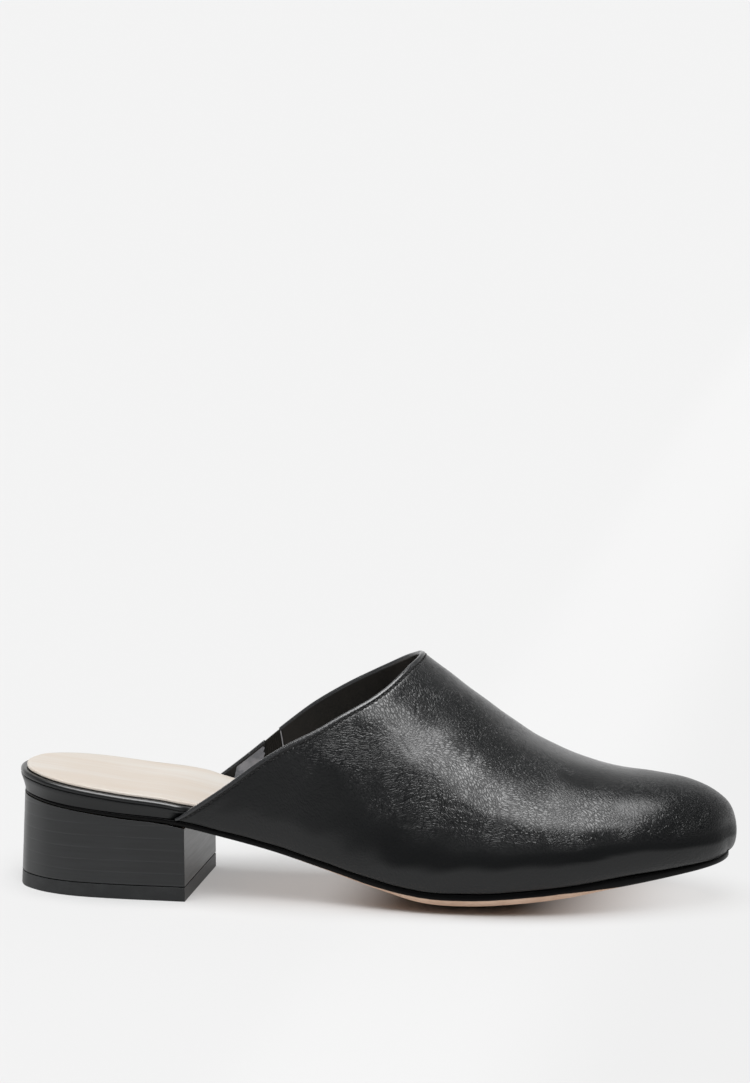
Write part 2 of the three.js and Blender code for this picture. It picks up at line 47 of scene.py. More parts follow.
metres = 0.001
shoe_length = 253.8
ball_width = 78.0
instep_height = 76.0
heel_height = 33.8
toe_spring = 9.8
sole_thickness = 4.4
tread_crown = 4.1
flat_spot = 1.3
board_thickness = 7.5
rim_flare = 1.5
wall = 1.8
glue_line = 0.3
middle = np.array([126.915, 2.096, 0.0])  # the middle of the shoe's footprint

# The bottom of the last, heel to toe: at is a share of the length, lateral and medial are the
# outline's reach to each side as shares of the ball width, heel and spring say how much of the
# heel's and the toe's lift the sole line has, the rest are shares of the named thicknesses.
bottom_columns = ("at", "lateral", "medial", "heel", "spring", "crown", "sole", "board")
bottom_rows = np.array([
    [0.008, -0.013, 0.013, 0.985, 0, 0, 0.16, 1],
    [0.016, 0.114, 0.14, 0.979, 0, 0, 0.16, 1],
    [0.032, 0.2, 0.223, 0.964, 0, 0, 0.17, 0.985],
    [0.062, 0.287, 0.297, 0.939, 0, 0, 0.2, 0.95],
    [0.105, 0.344, 0.344, 0.902, 0, 0, 0.25, 0.9],
    [0.165, 0.363, 0.362, 0.851, 0, 0, 0.34, 0.82],
    [0.235, 0.362, 0.37, 0.793, 0, 0, 0.42, 0.75],
    [0.306, 0.358, 0.357, 0.662, 0, 0.2, 0.5, 0.67],
    [0.378, 0.364, 0.326, 0.5, 0, 0.4, 0.5, 0.53],
    [0.449, 0.387, 0.341, 0.317, 0, 0.55, 0.56, 0.43],
    [0.52, 0.426, 0.392, 0.14, 0, 0.8, 0.68, 0.37],
    [0.587, 0.459, 0.456, 0.029, 0, 1, 0.95, 0.36],
    [0.654, 0.472, 0.51, 0, 0.058, 1, 1, 0.36],
    [0.721, 0.459, 0.523, 0, 0.18, 1, 1, 0.36],
    [0.784, 0.42, 0.495, 0, 0.35, 0.86, 0.95, 0.36],
    [0.839, 0.364, 0.444, 0, 0.565, 0.7, 0.85, 0.36],
    [0.886, 0.306, 0.379, 0, 0.715, 0.55, 0.75, 0.36],
    [0.926, 0.238, 0.303, 0, 0.83, 0.4, 0.65, 0.36],
    [0.96, 0.16, 0.217, 0, 0.925, 0.25, 0.57, 0.36],
    [0.982, 0.068, 0.128, 0, 0.98, 0.1, 0.5, 0.36],
    [0.99, -0.038, 0.038, 0, 1, 0, 0.46, 0.36],
])


def smooth_table(columns, rows, before, after):
    """A function of the row number that runs smoothly through each column of a table.

    Between two rows it is the cubic whose slope at a row is half the step from the row before
    to the row after; before and after are the rows it heads for beyond its ends.
    """
    padded = np.vstack([before, rows, after])

    def at(t):
        t = np.asarray(t, dtype=float)
        i = np.clip(np.floor(t).astype(int), 0, len(rows) - 2)
        f = (t - i)[..., None]
        a, b, c, d = (padded[i + k] for k in range(4))
        leave, arrive = (c - a) / 2, (d - b) / 2
        bend = 3 * (c - b) - 2 * leave - arrive
        twist = 2 * (b - c) + leave + arrive
        values = b + f * (leave + f * (bend + f * twist))
        return {name: values[..., k] for k, name in enumerate(columns)}

    return at


def round_tip(row):
    """The row beyond a rounded tip: the two sides change places."""
    turned = row.copy()
    turned[1], turned[2] = -row[2], -row[1]
    return turned


def by_place(table, last):
    """The same table as a function of the place x along the shoe."""
    steps = np.linspace(0, last, 4001)
    places = table(steps)["at"] * shoe_length
    return lambda x: table(np.interp(x, places, steps))


bottom_last = len(bottom_rows) - 1
bottom_at = smooth_table(
    bottom_columns, bottom_rows, round_tip(bottom_rows[1]), round_tip(bottom_rows[-2]))
bottom_at_x = by_place(bottom_at, bottom_last)
tread_height = sole_thickness + tread_crown - flat_spot
seat_height = heel_height + glue_line + bottom_rows[0][6] * sole_thickness


def line_height(row):
    """Height of the sole line: the tread's, and so much of the heel's and the toe's lift."""
    return (tread_height + (seat_height - tread_height) * row["heel"]
            + toe_spring * row["spring"])


def sag(row, share):
    """How far the last's bottom bulges down, a parabola across from edge to edge."""
    return tread_crown * row["crown"] * (1 - share * share)


def outline_point(t, side, inset):
    """x and y of the outsole's outline at row number t, moved square to it by inset."""
    step = 0.01
    sign = {"lateral": -1.0, "medial": 1.0}[side]
    behind, ahead = bottom_at(np.maximum(t - step, 0)), bottom_at(np.minimum(t + step, bottom_last))
    here = bottom_at(t)
    run = (ahead["at"] - behind["at"]) * shoe_length
    reach = (ahead[side] - behind[side]) * ball_width
    length = np.hypot(run, reach)
    return (here["at"] * shoe_length + inset * reach / length,
            sign * (here[side] * ball_width - inset * run / length))


def across_row(t, inset, shares, height):
    """Points across the bottom: straight from outline to outline, inset at both ends.

    t and inset run along the shoe, shares from -1 to 1 across it, and height(row, share) gives z.
    """
    lateral_x, lateral_y = outline_point(t, "lateral", inset)
    medial_x, medial_y = outline_point(t, "medial", inset)
    f = (np.asarray(shares, dtype=float)[None, :] + 1) / 2
    row = {name: values[:, None] for name, values in bottom_at(t).items()}
    x = lateral_x[:, None] * (1 - f) + medial_x[:, None] * f
    y = lateral_y[:, None] * (1 - f) + medial_y[:, None] * f
    return np.stack([x, y, height(row, 2 * f - 1) + 0 * x], axis=-1)


def bottom_ring(t, low_inset, low, edges, high_inset, high, across=17):
    """A closed ring at each station: across the low face, up one side, across the high face.

    edges lists (inset, height function) from the low face up to the high face; both sides of
    the shoe take the same ones.
    """
    shares = np.linspace(-1, 1, across)
    under = across_row(t, low_inset, shares, low)
    over = across_row(t, high_inset, shares, high)
    sides = [across_row(t, inset, [-1, 1], height) for inset, height in edges]
    medial = [side[:, 1:] for side in sides]
    lateral = [side[:, :1] for side in reversed(sides)]
    return np.concatenate([under, *medial, over[:, ::-1], *lateral], axis=1)


def placed(name, data):
    """An object with the given mesh, light or camera, in the scene."""
    made = bpy.data.objects.new(name, data)
    bpy.context.scene.collection.objects.link(made)
    return made


def to_mesh(name, points, faces, uv=None, sharp=None, slots=None, weld=2e-6):
    """An object from points in millimetres and faces, one UV pair for each point.

    Points closer than weld metres are joined, which closes seams and tips, and the faces are
    turned outwards. Edges that turn more than sharp degrees stay sharp.
    """
    mesh = bpy.data.meshes.new(name)
    places = (np.asarray(points).reshape(-1, 3) - middle) * metres
    mesh.from_pydata(places, [], faces)
    if slots is not None:
        mesh.polygons.foreach_set("material_index", slots)
    if uv is not None:
        corners = np.empty(len(mesh.loops), dtype=np.int32)
        mesh.loops.foreach_get("vertex_index", corners)
        layer = mesh.uv_layers.new(name="wall")
        layer.data.foreach_set("uv", uv.reshape(-1, 2)[corners].astype(np.float32).ravel())
    shape = bmesh.new()
    shape.from_mesh(mesh)
    bmesh.ops.remove_doubles(shape, verts=shape.verts, dist=weld)
    bmesh.ops.dissolve_degenerate(shape, edges=shape.edges, dist=weld / 4)
    bmesh.ops.recalc_face_normals(shape, faces=shape.faces)
    shape.to_mesh(mesh)
    shape.free()
    mesh.shade_smooth()
    if sharp is not None:
        mesh.set_sharp_from_angle(angle=np.radians(sharp))
    piece = placed(name, mesh)
    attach(piece, "root")
    return piece


def ring_faces(rings, size):
    """Quads between neighbouring rings of size points each, numbered ring by ring."""
    ring = np.arange(rings - 1)[:, None] * size
    k = np.arange(size)[None, :]
    after = (k + 1) % size
    quads = np.stack([ring + k, ring + after, ring + size + after, ring + size + k], axis=-1)
    return quads.reshape(-1, 4)


def skin(name, rings, uv=None, sharp=None):
    """An object from an array of rings, stations by points by 3."""
    return to_mesh(name, rings, ring_faces(*rings.shape[:2]), uv, sharp)


def smoothstep(x, low, high):
    """0 below low, 1 above high, and 3f^2 - 2f^3 between."""
    f = np.clip((x - low) / (high - low), 0, 1)
    return f * f * (3 - 2 * f)


def covered(t, start=0.225, end=0.252):
    """How far the upper covers the board's foot at row number t."""
    return smoothstep(bottom_at(t)["at"], start, end)


def covered_bead(t):
    """How far it covers the bead, which its rising edge reaches further on."""
    return covered(t, 0.244, 0.27)


def flare(t):
    """How far the rim leans out, from the heel to where it fades in the waist."""
    return rim_flare * (1 - smoothstep(bottom_at(t)["at"], 0.4, 0.55))


def board_base(row, share=1.0):
    return line_height(row) + glue_line - sag(row, share)


def board_top(row, share=1.0):
    return board_base(row, share) + board_thickness * row["board"]


def board_foot(t):
    return (wall + glue_line) * covered(t)


def board_shoulder(t):
    return (wall + glue_line) * covered_bead(t) - flare(t)


bead_radius = 1.0
bead_groove = 0.12
bead_drop = 0.15
groove_lip = 0.08


def board_edges(t):
    """The rim from its foot to the bead: a leaning side, a narrow groove and a half-round bead."""
    foot, shoulder = board_foot(t), board_shoulder(t)
    open_heel = 1 - covered_bead(t)
    neck = 2 * bead_radius + bead_drop
    edges = [(foot, lambda r, s: board_base(r))]
    for f in (0.04, 0.25, 0.5, 0.75, 0.96):
        lean = foot + (shoulder - foot) * f ** 1.3
        edges.append((lean, lambda r, s, f=f: board_base(r)
                      + (board_thickness * r["board"] - neck) * f))
    edges.append((shoulder + bead_groove * open_heel,
                  lambda r, s: board_top(r) - neck + groove_lip))
    for angle in np.radians([-60, -35, -10, 15, 40, 65, 90]):
        inset = shoulder + bead_radius * (1 - np.cos(angle)) * (0.25 + 0.75 * open_heel)
        rise = bead_radius * (1 - np.sin(angle))
        edges.append((inset, lambda r, s, rise=rise: board_top(r) - rise))
    return edges


def stations(per_row=14):
    """Row numbers along the bottom, a fixed number to each row of the table."""
    return np.linspace(0, bottom_last, bottom_last * per_row + 1)


t = stations()
board = skin("wrapped_board", bottom_ring(
    t, board_foot(t), board_base, board_edges(t),
    board_shoulder(t) + bead_radius, board_top), sharp=50)
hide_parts("insole_board")


def put(tree, kind, inputs=None, **settings):
    """A node of a kind; inputs maps socket names or numbers to values or to other sockets."""
    node = tree.nodes.new(kind)
    for key, value in settings.items():
        setattr(node, key, value)
    for key, value in (inputs or {}).items():
        if isinstance(value, bpy.types.NodeSocket):
            tree.links.new(value, node.inputs[key])
        else:
            node.inputs[key].default_value = value
    return node


def calc(tree, operation, *values):
    """The output of a Math node; values are numbers or sockets."""
    return put(tree, "ShaderNodeMath", dict(enumerate(values)), operation=operation).outputs[0]


def split(tree, vector):
    """The sockets X, Y and Z of a vector."""
    return put(tree, "ShaderNodeSeparateXYZ", {0: vector}).outputs


def stretched(tree, vector, x, y, z):
    """A vector with its three parts multiplied."""
    return put(tree, "ShaderNodeMapping", {"Vector": vector, "Scale": (x, y, z)}).outputs[0]


def coordinates(tree):
    """The place on the shoe, in metres from the middle of its footprint."""
    return put(tree, "ShaderNodeTexCoord").outputs["Object"]


def along_wall(tree):
    """The sockets X and Y of the UV map, in metres."""
    return split(tree, put(tree, "ShaderNodeUVMap", uv_map="wall").outputs[0])


def ramp(tree, value, low, high, to_low=0.0, to_high=1.0):
    """value taken smoothly from to_low at low to to_high at high."""
    return put(tree, "ShaderNodeMapRange", {
        "Value": value, "From Min": low, "From Max": high, "To Min": to_low, "To Max": to_high,
    }, interpolation_type="SMOOTHSTEP").outputs["Result"]


def noise(tree, position, scale, detail=2.0, roughness=0.5):
    """The value of a Noise texture, about 0.3 to 0.7."""
    return put(tree, "ShaderNodeTexNoise", {
        "Vector": position, "Scale": scale, "Detail": detail, "Roughness": roughness,
    }).outputs[0]


def blend(tree, factor, one, other):
    """A colour between two colours or sockets."""
    node = put(tree, "ShaderNodeMix", {"Factor": factor}, data_type="RGBA")
    for socket, value in ((node.inputs[6], one), (node.inputs[7], other)):
        if isinstance(value, bpy.types.NodeSocket):
            tree.links.new(value, socket)
        else:
            socket.default_value = (*value, 1)
    return node.outputs[2]


def group(name, inputs, outputs):
    """A new node group with the named sockets; its tree, its inputs' and its outputs' sockets."""
    tree = bpy.data.node_groups.new(name, "ShaderNodeTree")
    kinds = {"value": "NodeSocketFloat", "vector": "NodeSocketVector"}
    for in_out, sockets in (("INPUT", inputs), ("OUTPUT", outputs)):
        for socket, kind in sockets.items():
            tree.interface.new_socket(socket, in_out=in_out, socket_type=kinds[kind])
    return tree, tree.nodes.new("NodeGroupInput").outputs, tree.nodes.new("NodeGroupOutput").inputs


def material(name, **values):
    """A node material with values on its Principled node; the material, its tree and that node."""
    made = bpy.data.materials.new(name)
    made.use_nodes = True
    shader = made.node_tree.nodes["Principled BSDF"]
    for key, value in values.items():
        socket = shader.inputs[key.replace("_", " ")]
        socket.default_value = (*value, 1) if isinstance(value, tuple) else value
    return made, made.node_tree, shader


def feed(tree, shader, **sockets):
    """Links sockets to the Principled node's inputs of those names."""
    for key, socket in sockets.items():
        tree.links.new(socket, shader.inputs[key.replace("_", " ")])


def bump(tree, shader, height, distance):
    """Bump on the Principled node; distance is the height's size in metres."""
    node = put(tree, "ShaderNodeBump", {"Height": height, "Strength": 1.0, "Distance": distance})
    feed(tree, shader, Normal=node.outputs[0])


# Grain of the leather: two sets of long, narrow cells that lean different ways, pulled about by
# slow noises, whose borders are its valleys; on the cells lie small pebbles and pores.
grain, given, made = group("leather_grain", {"Position": "vector", "Wrinkles": "value"},
                           {"Height": "value", "Valleys": "value"})


def pulled(tree, position, scale, reach):
    """A position moved by up to about half of reach, in swirls of the size 1 / scale."""
    swirl = put(tree, "ShaderNodeTexNoise", {"Vector": position, "Scale": scale, "Detail": 1.0})
    centred = put(tree, "ShaderNodeVectorMath", {0: swirl.outputs["Color"], 1: (0.5, 0.5, 0.5)},
                  operation="SUBTRACT").outputs[0]
    return put(tree, "ShaderNodeVectorMath", {0: centred, 1: (reach,) * 3, 2: position},
               operation="MULTIPLY_ADD").outputs[0]


def long_cells(tree, position, lean, length, width):
    """Distance to the borders of cells that lie along a line leaning lean degrees down to +X."""
    turned = put(tree, "ShaderNodeMapping", {
        "Vector": position, "Rotation": (0, np.radians(lean), 0), "Scale": (length, width, width),
    }, vector_type="TEXTURE").outputs[0]
    return put(tree, "ShaderNodeTexVoronoi", {"Vector": turned, "Scale": 1.0, "Randomness": 0.9},
               feature="DISTANCE_TO_EDGE").outputs["Distance"]


moved = pulled(grain, pulled(grain, given[0], 34.0, 0.014), 210.0, 0.0016)
steep = long_cells(grain, moved, 55.0, 0.0029, 0.00084)
shallow = long_cells(grain, moved, -14.0, 0.0026, 0.0007)
choice = ramp(grain, noise(grain, given[0], 46.0, 1.0), 0.46, 0.54)
borders = calc(grain, "ADD", calc(grain, "MULTIPLY", steep, choice),
               calc(grain, "MULTIPLY", shallow, calc(grain, "SUBTRACT", 1.0, choice)))
wrinkled = ramp(grain, borders, 0.0, 0.22)
patches = ramp(grain, noise(grain, given[0], 60.0, 2.0), 0.34, 0.58, 0.35, 1.0)
strength = calc(grain, "MULTIPLY", patches, given[1])
wrinkles = calc(grain, "MULTIPLY", wrinkled, strength)
cells = put(grain, "ShaderNodeTexVoronoi", {"Vector": moved, "Scale": 1250.0, "Smoothness": 0.5},
            feature="SMOOTH_F1")
pebbles = calc(grain, "SUBTRACT", 1.0, cells.outputs["Distance"])
pores = noise(grain, given[0], 3200.0, 1.0, 0.6)
height = calc(grain, "ADD", calc(grain, "MULTIPLY", wrinkles, 0.8),
              calc(grain, "ADD", calc(grain, "MULTIPLY", pebbles, 0.3),
                   calc(grain, "MULTIPLY", pores, 0.1)))
grain.links.new(height, made[0])
valleys = calc(grain, "MULTIPLY", strength, ramp(grain, borders, 0.0, 0.16, 1.0, 0.0))
grain.links.new(valleys, made[1])


def leather_material(name, wrinkles, depth, folded=False):
    """Semi-gloss black leather, grained above, with duller valleys, and dull where it turns under.

    folded makes the strip next to the wall's edge smoother, glossier and a lighter grey in colour,
    a painted highlight along the fold.
    """
    made, tree, shader = material(name, IOR=1.5, Coat_Roughness=0.24, Coat_IOR=1.5)
    place = coordinates(tree)
    facing = split(tree, put(tree, "ShaderNodeNewGeometry").outputs["Normal"])["Z"]
    along = split(tree, place)["X"]
    edge = 0.0
    if folded:
        from_edge = calc(tree, "ABSOLUTE", along_wall(tree)["Y"])
        edge = ramp(tree, from_edge, 0.0006, 0.0014, 1.0, 0.0)
    upward = ramp(tree, facing, -0.02, 0.32)
    level = ramp(tree, facing, 0.75, 0.95, 1.0, 0.4)
    creased = calc(tree, "MULTIPLY", calc(tree, "MULTIPLY_ADD", upward, 0.75, 0.25), level)
    creased = calc(tree, "MULTIPLY", creased, calc(tree, "MULTIPLY_ADD", edge, -0.9, 1.0))
    height, valleys = put(tree, "ShaderNodeGroup", {
        "Position": place, "Wrinkles": calc(tree, "MULTIPLY", creased, wrinkles),
    }, node_tree=grain).outputs

    tone = noise(tree, place, 30.0, 3.0)
    black = blend(tree, ramp(tree, tone, 0.35, 0.65), (0.0034, 0.004, 0.0044),
                  (0.0054, 0.006, 0.0065))
    rough = calc(tree, "ADD", calc(tree, "MULTIPLY_ADD", height, -0.05, 0.36),
                 ramp(tree, tone, 0.3, 0.7, -0.02, 0.03))
    towards_toe = ramp(tree, along, 0.076, 0.106, 1.0, 0.58)
    open_grain = calc(tree, "MULTIPLY_ADD", valleys, -0.62, 1.0)
    shine = calc(tree, "MULTIPLY", calc(tree, "MULTIPLY", upward, towards_toe), open_grain)
    widest_line = ramp(tree, along, -0.03, 0.02, 0.28, 0.1)
    turned_under = ramp(tree, facing, -0.12, -0.03, 0.38, widest_line)
    polish = calc(tree, "MAXIMUM", turned_under, calc(tree, "MULTIPLY", shine, 0.62))
    # Along the folded edge the colour turns lighter grey, a painted highlight on the fold.
    feed(tree, shader, Base_Color=blend(tree, edge, black, (0.03, 0.031, 0.033)),
         Roughness=calc(tree, "MULTIPLY_ADD", edge, -0.1, rough),
         Specular_IOR_Level=calc(tree, "MAXIMUM", polish, calc(tree, "MULTIPLY", edge, 0.6)),
         Coat_Weight=calc(tree, "MULTIPLY", shine, 0.82))
    bump(tree, shader, height, depth)
    return made


board_leather = leather_material("board_leather", 0.15, 0.00003)
board.data.materials.append(board_leather)

# Upper. One piece of black leather lasted over the foot, its top edge folded and stitched, with
# a thin lining inside. It is cemented between the board and the outsole.

upper_columns = ("at", "lateral", "medial", "wide", "ridge", "crest", "under",
                 "round_lateral", "round_medial")
upper_rows = np.array([
    [0.188, 0.39, 0.388, 0.2, 0, 1.13, 0, 2.6, 2.6],
    [0.259, 0.393, 0.392, 0.2, 0, 1.16, 0, 2.5, 2.5],
    [0.33, 0.396, 0.38, 0.21, 0.006, 1.158, 0, 2.4, 2.4],
    [0.401, 0.409, 0.37, 0.21, 0.019, 1.138, 0, 2.2, 2.3],
    [0.472, 0.434, 0.394, 0.21, 0.032, 1.092, 0, 1.95, 2.15],
    [0.535, 0.464, 0.446, 0.204, 0.045, 1.042, 0, 1.85, 2],
    [0.591, 0.492, 0.505, 0.19, 0.051, 0.937, 0, 1.8, 1.95],
    [0.654, 0.513, 0.554, 0.178, 0.058, 0.78, 0, 1.85, 1.95],
    [0.721, 0.505, 0.567, 0.165, 0.058, 0.605, 0, 1.95, 2],
    [0.784, 0.469, 0.541, 0.151, 0.058, 0.489, 0, 2.05, 2.05],
    [0.839, 0.415, 0.492, 0.138, 0.056, 0.416, 0, 2.15, 2.15],
    [0.886, 0.358, 0.43, 0.126, 0.053, 0.38, 0, 2.2, 2.2],
    [0.926, 0.293, 0.358, 0.116, 0.048, 0.346, 0, 2.2, 2.2],
    [0.957, 0.22, 0.282, 0.108, 0.044, 0.304, 0, 2.15, 2.15],
    [0.98, 0.145, 0.208, 0.101, 0.04, 0.251, 0, 2.1, 2.1],
    [0.992, 0.07, 0.14, 0.098, 0.038, 0.208, 0.008, 2.05, 2.05],
    [0.998, 0.014, 0.09, 0.097, 0.038, 0.158, 0.04, 2, 2],
    [1, -0.038, 0.038, 0.097, 0.038, 0.097, 0.097, 2, 2],
])
topline_columns = ("at", "lateral", "medial")
topline_rows = np.array([
    [0.18, -0.1, -0.1], [0.228, -0.03, -0.03], [0.251, 0.02, 0.03], [0.283, 0.115, 0.137],
    [0.322, 0.24, 0.275], [0.362, 0.375, 0.422], [0.401, 0.492, 0.56], [0.441, 0.598, 0.683],
    [0.476, 0.699, 0.78], [0.512, 0.795, 0.877], [0.535, 0.865, 0.938], [0.555, 0.94, 0.984],
    [0.569, 1.006, 1.024], [0.583, 1.2, 1.2], [0.6, 1.6, 1.6],
])
tuck_share = 0.2

nose = round_tip(upper_rows[-2])
nose[5], nose[6] = upper_rows[-2][6], upper_rows[-2][5]
upper_last = len(upper_rows) - 1
upper_at = smooth_table(upper_columns, upper_rows, 2 * upper_rows[0] - upper_rows[1], nose)
topline_last = len(topline_rows) - 1
topline_at_x = by_place(
    smooth_table(topline_columns, topline_rows, 2 * topline_rows[0] - topline_rows[1],
                 2 * topline_rows[-1] - topline_rows[-2]), topline_last)


def upper_point(t, a):
    """A point of the outside of the upper at row number t, a from 0 at the lateral feather over
    the crest at 0.5 to 1 at the medial feather.

    On each side a quarter ellipse tucks under to the feather, and above the widest place a
    quarter arch, |y|^n + |z|^n = 1, rises to the crest.
    """
    row = upper_at(t)
    x = row["at"] * shoe_length
    bottom = bottom_at_x(x)
    line = line_height(bottom) + glue_line
    outer = a < 0.5
    sign = np.where(outer, -1.0, 1.0)
    climb = np.where(outer, a, 1 - a)
    widest = sign * np.where(outer, row["lateral"], row["medial"]) * ball_width
    feather = sign * np.where(outer, bottom["lateral"], bottom["medial"]) * ball_width
    wide_z = line + row["wide"] * instep_height
    under_z = line + row["under"] * instep_height
    crest_y, crest_z = row["ridge"] * ball_width, line + row["crest"] * instep_height
    tuck = (1 - np.minimum(climb / tuck_share, 1)) * np.pi / 2
    arch = np.clip((climb - tuck_share) / (0.5 - tuck_share), 0, 1) * np.pi / 2
    power = 2 / np.where(outer, row["round_lateral"], row["round_medial"])
    below = climb < tuck_share
    y = np.where(below, feather + (widest - feather) * np.cos(tuck),
                 crest_y + (widest - crest_y) * np.maximum(np.cos(arch), 0) ** power)
    z = np.where(below, wide_z - (wide_z - under_z) * np.sin(tuck),
                 wide_z + (crest_z - wide_z) * np.sin(arch) ** power)
    return np.stack([x + 0 * y, y, z], axis=-1)


def unit(vectors):
    return vectors / np.maximum(np.linalg.norm(vectors, axis=-1, keepdims=True), 1e-12)


def upper_normal(t, a):
    """The outward normal there, from the cross product of two short steps."""
    step = 2e-3
    t = np.clip(t, step, upper_last - 0.03)
    a = np.clip(a, step, 1 - step)
    along = upper_point(t + step, a) - upper_point(t - step, a)
    rise = upper_point(t, a + step) - upper_point(t, a - step)
    return unit(np.cross(along, rise))


def topline_gap(t, a):
    """Height of the skin above the topline, which blends from the lateral to the medial one."""
    x, y, z = np.moveaxis(upper_point(t, a), -1, 0)
    row = topline_at_x(x)
    f = smoothstep(y, -ball_width / 2, ball_width / 2)
    share = row["lateral"] * (1 - f) + row["medial"] * f
    return z - line_height(bottom_at_x(x)) - glue_line - share * instep_height


# The topline as row numbers and places round the section, from the lateral end to the medial
last_cut_row = 7.5
round_steps = np.linspace(0, 1, 1201)
row_steps = np.linspace(0, last_cut_row, 1501)
above = topline_gap(row_steps[:, None], round_steps[None, :])
last_above = len(row_steps) - 2 - np.argmax((above > 0)[-2::-1], axis=0)
column = np.arange(len(round_steps))
high, low = above[last_above, column], above[last_above + 1, column]
cut_rows = row_steps[last_above] + (row_steps[1] - row_steps[0]) * high / (high - low)


def length_along(points):
    """Running length of a line of points, from 0."""
    return np.append(0, np.cumsum(np.linalg.norm(np.diff(points, axis=0), axis=1)))


topline_length = length_along(upper_point(cut_rows, round_steps))
topline_share = topline_length / topline_length[-1]
pole_start, pole_end = 0.34, 0.66


def feather_row(share, a):
    """Row number at a share of the feather's length, from the topline's end to the toe."""
    start = cut_rows[0] if a == 0 else cut_rows[-1]
    steps = np.linspace(start, upper_last, 2001)
    run = length_along(upper_point(steps, a + 0.0 * steps))
    return np.interp(share, run / run[-1], steps)


def fan(s, v):
    """Row number and place round the section for a point v of the way from the topline, at the
    share s of its length, to the feather.

    The lines fan out: up to pole_start they end along the lateral feather, from pole_end on
    along the medial one, and between them they all meet in the tip of the toe.
    """
    from_a = np.interp(s, topline_share, round_steps)
    from_t = np.interp(from_a, round_steps, cut_rows)
    lateral = feather_row(np.minimum(s / pole_start, 1) ** 2, 0)
    medial = feather_row(np.minimum((1 - s) / (1 - pole_end), 1) ** 2, 1)
    to_t = np.where(s < 0.5, lateral, medial)
    to_a = np.clip((s - pole_start) / (pole_end - pole_start), 0, 1)
    return from_t + (to_t - from_t) * v, from_a + (to_a - from_a) * v


edge_roll = 0.8
wall_tip = 0.8
tail_length = 8.0


def wall_thickness(s):
    """The wall's thickness, thinned towards the two tails."""
    end = np.minimum(s, 1 - s) * topline_length[-1]
    return wall_tip + (wall - wall_tip) * smoothstep(end, 0, tail_length)


def start_of_wall(s, furthest=0.4):
    """How far down each line of the fan the rolled edge ends, by the length run along it."""
    v = np.linspace(0, furthest, 241)
    steps = np.diff(upper_point(*fan(s, v[:, None])), axis=0)
    run = np.cumsum(np.linalg.norm(steps, axis=-1), axis=0)
    k = np.clip((run < edge_roll).sum(axis=0), 0, len(v) - 2)
    column = np.arange(s.shape[1])
    before = np.where(k > 0, run[k - 1, column], 0.0)
    f = (edge_roll - before) / np.maximum(run[k, column] - before, 1e-9)
    return (v[k] + np.clip(f, 0, 1) * (v[1] - v[0]))[None, :]


def shell(start, end, columns, outer=150, inner=50, thick=None, sink=0.0, relief=None):
    """The wall between two shares of the topline, as named arrays.

    rings runs round the wall at each column, from the feather up the outside, over the rolled
    edge and down the inside; uv is the length along the topline and the distance from the edge,
    below 0 inside, in metres. out and inn hold each face's points, normals and distances.
    """
    s = np.linspace(start, end, columns)[None, :]
    depth = wall_thickness(s) if thick is None else np.full_like(s, thick)
    first = start_of_wall(s)
    faces = {}
    for name, count, push in (("out", outer, sink), ("inn", inner, sink + depth)):
        w = np.linspace(0, 1, count)[:, None] ** 1.6
        t_at, a_at = fan(s, first + (1 - first) * w)
        skin_points, normal = upper_point(t_at, a_at), upper_normal(t_at, a_at)
        tangent = unit(np.gradient(skin_points[0], axis=0))
        down = unit(skin_points[1] - skin_points[0] + 1e-9)
        slant = np.linalg.norm(np.cross(down, tangent), axis=-1)
        steps = np.linalg.norm(np.diff(skin_points, axis=0), axis=-1)
        run = np.vstack([np.zeros((1, columns)), np.cumsum(steps, axis=0)])
        distance = edge_roll + run * slant
        lift = relief(skin_points, distance) if relief and name == "out" else 0 * distance
        moved = skin_points + normal * (lift - push)[..., None]
        faces[name] = (moved, normal if name == "out" else -normal, distance)
    outside, inside = faces["out"][0], faces["inn"][0]
    centre = (outside[:1] + inside[:1]) / 2
    across = outside[:1] - centre
    reach = np.linalg.norm(across, axis=-1, keepdims=True)
    down = outside[1:2] - outside[:1]
    up = unit(np.cross(np.gradient(outside[0], axis=0)[None], across))
    up = np.where(np.sum(up * down, axis=-1, keepdims=True) > 0, -up, up)
    angles = np.linspace(0, np.pi, 9)[1:-1, None, None]
    roll = centre + across * np.cos(angles) + up * reach * np.sin(angles)
    rings = np.concatenate([outside[::-1], roll, inside]).transpose(1, 0, 2)
    v_roll = np.cos(angles[..., 0]) * edge_roll + 0 * s
    across_uv = np.concatenate([faces["out"][2][::-1], v_roll, -faces["inn"][2]])
    along_uv = s * topline_length[-1] + 0 * across_uv
    uv = np.stack([along_uv.T, across_uv.T], axis=-1) * metres
    return {"rings": rings, "uv": uv, **faces}


def shell_piece(name, made, lining_from=None):
    """An object from the wall's rings, closed at both ends by a strip of quads.

    Faces of the inside further than lining_from from the edge take the second material.
    """
    rings, uv = made["rings"], made["uv"]
    count, size = rings.shape[:2]
    faces = ring_faces(count, size)
    k = np.arange(size // 2 - 1)
    cap = np.stack([k, k + 1, size - 2 - k, size - 1 - k], axis=-1)
    slots = np.zeros(len(faces) + 2 * len(cap), dtype=np.int32)
    if lining_from is not None:
        across = uv[..., 1].reshape(-1)[faces]
        slots[:len(faces)] = (across.max(axis=1) < -lining_from * metres)
    faces = np.concatenate([faces, cap, cap + (count - 1) * size])
    return to_mesh(name, rings, faces, uv, slots=slots)


def place_of(x, side):
    """Share of the topline at a place along one side."""
    points = upper_point(cut_rows, round_steps)
    chosen = (round_steps < 0.5) == (side == "lateral")
    order = np.argsort(points[chosen, 0])
    return float(np.interp(x, points[chosen, 0][order], topline_share[chosen][order]))


front_seam = place_of(88.8, "medial")
rear_seam = place_of(83.2, "medial")
seam_gap = 0.03 / topline_length[-1]
stitch_inset = 1.6

